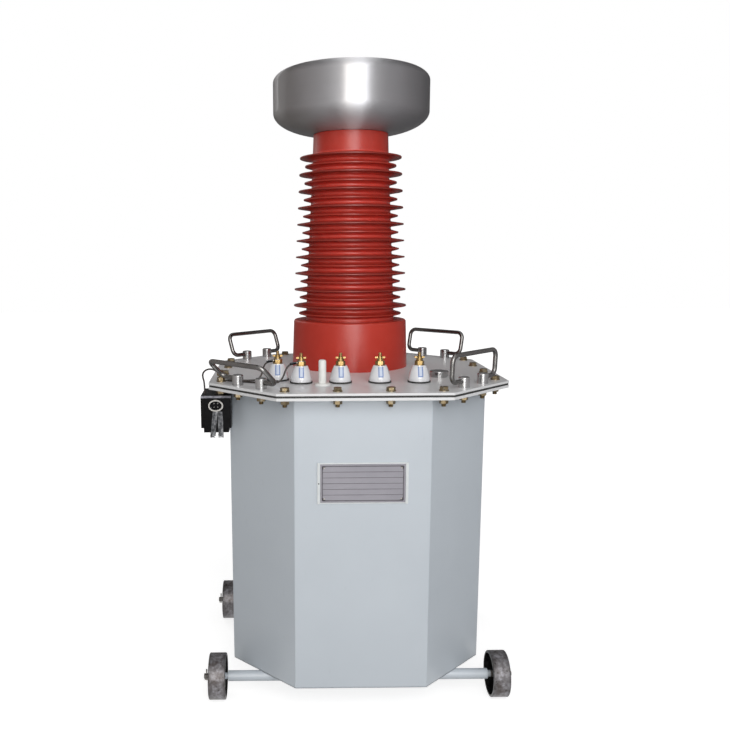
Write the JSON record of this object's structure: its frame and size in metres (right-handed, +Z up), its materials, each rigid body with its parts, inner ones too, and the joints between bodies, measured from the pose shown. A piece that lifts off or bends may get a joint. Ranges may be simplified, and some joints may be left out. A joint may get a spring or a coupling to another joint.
{
  "type": "high-voltage test transformer",
  "caption": "Eight-sided oil-filled test transformer with a shedded red bushing, spun corona shield, porcelain terminals, swinging lifting bails and trolley wheels.",
  "frame": {"origin": "on the floor under the middle of the tank, midway between the wheels", "axes": "+X right as seen from the nameplate, +Y to the rear, +Z up along the bushing"},
  "size_m": [0.823, 0.77, 1.672],
  "materials": {
    "tank_paint": "satin grey paint",
    "cover_paint": "gloss grey paint",
    "black_rubber": "matt",
    "plain_steel": "dull",
    "wheel_iron": "as cast, handled",
    "bushing_red": "satin cast resin",
    "spun_metal": "spun and brushed",
    "terminal_brass": "satin",
    "white_porcelain": "glazed",
    "white_nylon": "satin",
    "polished_steel": "polished",
    "bail_steel": "polished rod",
    "holder_white": "satin",
    "plate_silver": "satin",
    "box_black": "satin",
    "yellow_zinc": "yellow zinc plate",
    "lead_black": "satin insulation",
    "braid_grey": "tinned braid, dulled"
  },
  "bodies": {
    "transformer": {"tank_wall": "tank_paint", "tank_floor": "tank_paint", "tank_flange": "tank_paint", "cover_gasket": "black_rubber", "cover_plate": "cover_paint", "front_axle": "tank_paint", "rear_axle": "tank_paint", "axle_washers": "plain_steel", "split_pins": "plain_steel", "high_voltage_bushing": "bushing_red", "corona_shield": "spun_metal", "output_stud": "terminal_brass", "terminal_gaskets": "black_rubber", "terminal_insulator_1": "white_porcelain", "terminal_insulator_2": "white_porcelain", "terminal_insulator_3": "white_porcelain", "terminal_insulator_4": "white_porcelain", "terminal_insulator_5": "white_porcelain", "terminal_stud_1": "terminal_brass", "terminal_stud_2": "terminal_brass", "terminal_stud_3": "terminal_brass", "terminal_stud_4": "terminal_brass", "terminal_stud_5": "terminal_brass", "breather_post": "white_nylon", "filler_cap": "polished_steel", "handle_posts_front_left": "polished_steel", "handle_posts_front_right": "polished_steel", "handle_posts_rear_left": "polished_steel", "handle_posts_rear_right": "polished_steel", "nameplate_holder": "holder_white", "nameplate": "plate_silver", "socket_box": "box_black", "socket_ring": "polished_steel", "earth_stud": "yellow_zinc", "first_lead": "lead_black", "second_lead": "lead_black", "braid_left": "braid_grey", "braid_right": "braid_grey"},
    "front_left_wheel": {"wheel_front_left": "wheel_iron"},
    "front_right_wheel": {"wheel_front_right": "wheel_iron"},
    "rear_left_wheel": {"wheel_rear_left": "wheel_iron"},
    "rear_right_wheel": {"wheel_rear_right": "wheel_iron"},
    "front_left_bail": {"bail_front_left": "bail_steel"},
    "front_right_bail": {"bail_front_right": "bail_steel"},
    "rear_left_bail": {"bail_rear_left": "bail_steel"},
    "rear_right_bail": {"bail_rear_right": "bail_steel"}
  },
  "joints": [
    {"name": "front_left_roll", "type": "hinge", "parent": "transformer", "child": "front_left_wheel", "pos_m": [-0.374, -0.243, 0.06], "axis": [1, 0, 0], "continuous": true},
    {"name": "front_right_roll", "type": "hinge", "parent": "transformer", "child": "front_right_wheel", "pos_m": [0.374, -0.243, 0.06], "axis": [1, 0, 0], "continuous": true},
    {"name": "rear_left_roll", "type": "hinge", "parent": "transformer", "child": "rear_left_wheel", "pos_m": [-0.374, 0.243, 0.06], "axis": [1, 0, 0], "continuous": true},
    {"name": "rear_right_roll", "type": "hinge", "parent": "transformer", "child": "rear_right_wheel", "pos_m": [0.374, 0.243, 0.06], "axis": [1, 0, 0], "continuous": true},
    {"name": "front_left_swing", "type": "hinge", "parent": "transformer", "child": "front_left_bail", "pos_m": [-0.2777, -0.2777, 0.866], "axis": [0.7071, -0.7071, 0], "range_deg": [-135, 53]},
    {"name": "rear_left_swing", "type": "hinge", "parent": "transformer", "child": "rear_left_bail", "pos_m": [-0.2777, 0.2777, 0.866], "axis": [-0.7071, -0.7071, 0], "range_deg": [-108, 80]},
    {"name": "rear_right_swing", "type": "hinge", "parent": "transformer", "child": "rear_right_bail", "pos_m": [0.2777, 0.2777, 0.866], "axis": [-0.7071, 0.7071, 0], "range_deg": [-100, 88]},
    {"name": "front_right_swing", "type": "hinge", "parent": "transformer", "child": "front_right_bail", "pos_m": [0.2777, -0.2777, 0.866], "axis": [0.7071, 0.7071, 0], "range_deg": [-90, 98]}
  ]
}
